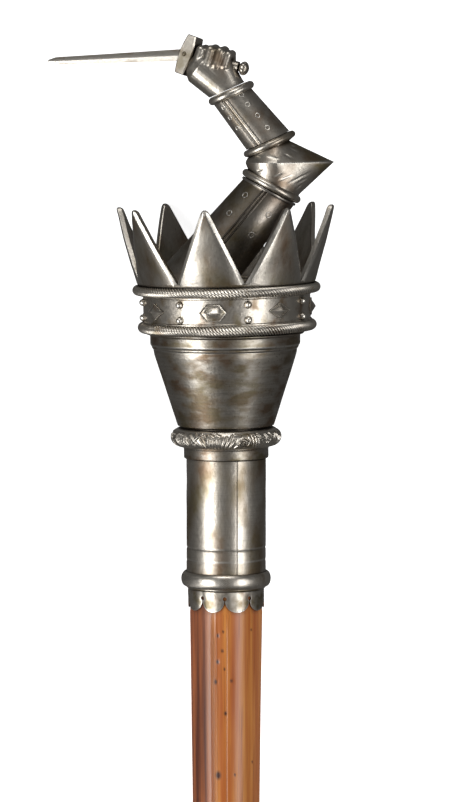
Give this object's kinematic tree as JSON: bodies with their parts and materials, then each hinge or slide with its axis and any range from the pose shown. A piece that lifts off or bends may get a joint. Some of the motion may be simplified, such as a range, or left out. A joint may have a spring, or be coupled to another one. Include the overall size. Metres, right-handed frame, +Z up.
{
  "type": "ceremonial staff",
  "caption": "Ceremonial staff: a malacca cane with a plated metal head, where an armoured arm rises from a jewelled crown and holds a dagger.",
  "frame": {"origin": "centre of the lying staff's bounding box, at the level of the surface it lies on", "axes": "+Y along the staff from its foot to its head, rising by 1.6 degrees; +Z up from the surface; +X across it, towards the elbow"},
  "size_m": [0.1206, 1.3002, 0.0922],
  "materials": {
    "malacca": "varnished cane, honey orange to red-brown, with dark streaks",
    "silver_plate": "worn satin silver plate with a warm patina in the recesses",
    "tarnished_plate": "silver plate mottled with brown tarnish and fine scratches"
  },
  "bodies": {
    "root": {"cane_shaft": "malacca", "foot_ferrule": "tarnished_plate", "socket": "silver_plate", "socket_bead": "silver_plate", "cup": "tarnished_plate", "leaf_ring": "silver_plate", "crown_points": "tarnished_plate", "jewelled_band": "silver_plate", "crown_floor": "tarnished_plate", "upper_arm": "tarnished_plate", "elbow_cop": "silver_plate", "forearm": "silver_plate", "fist": "silver_plate", "dagger": "silver_plate"}
  },
  "joints": []
}
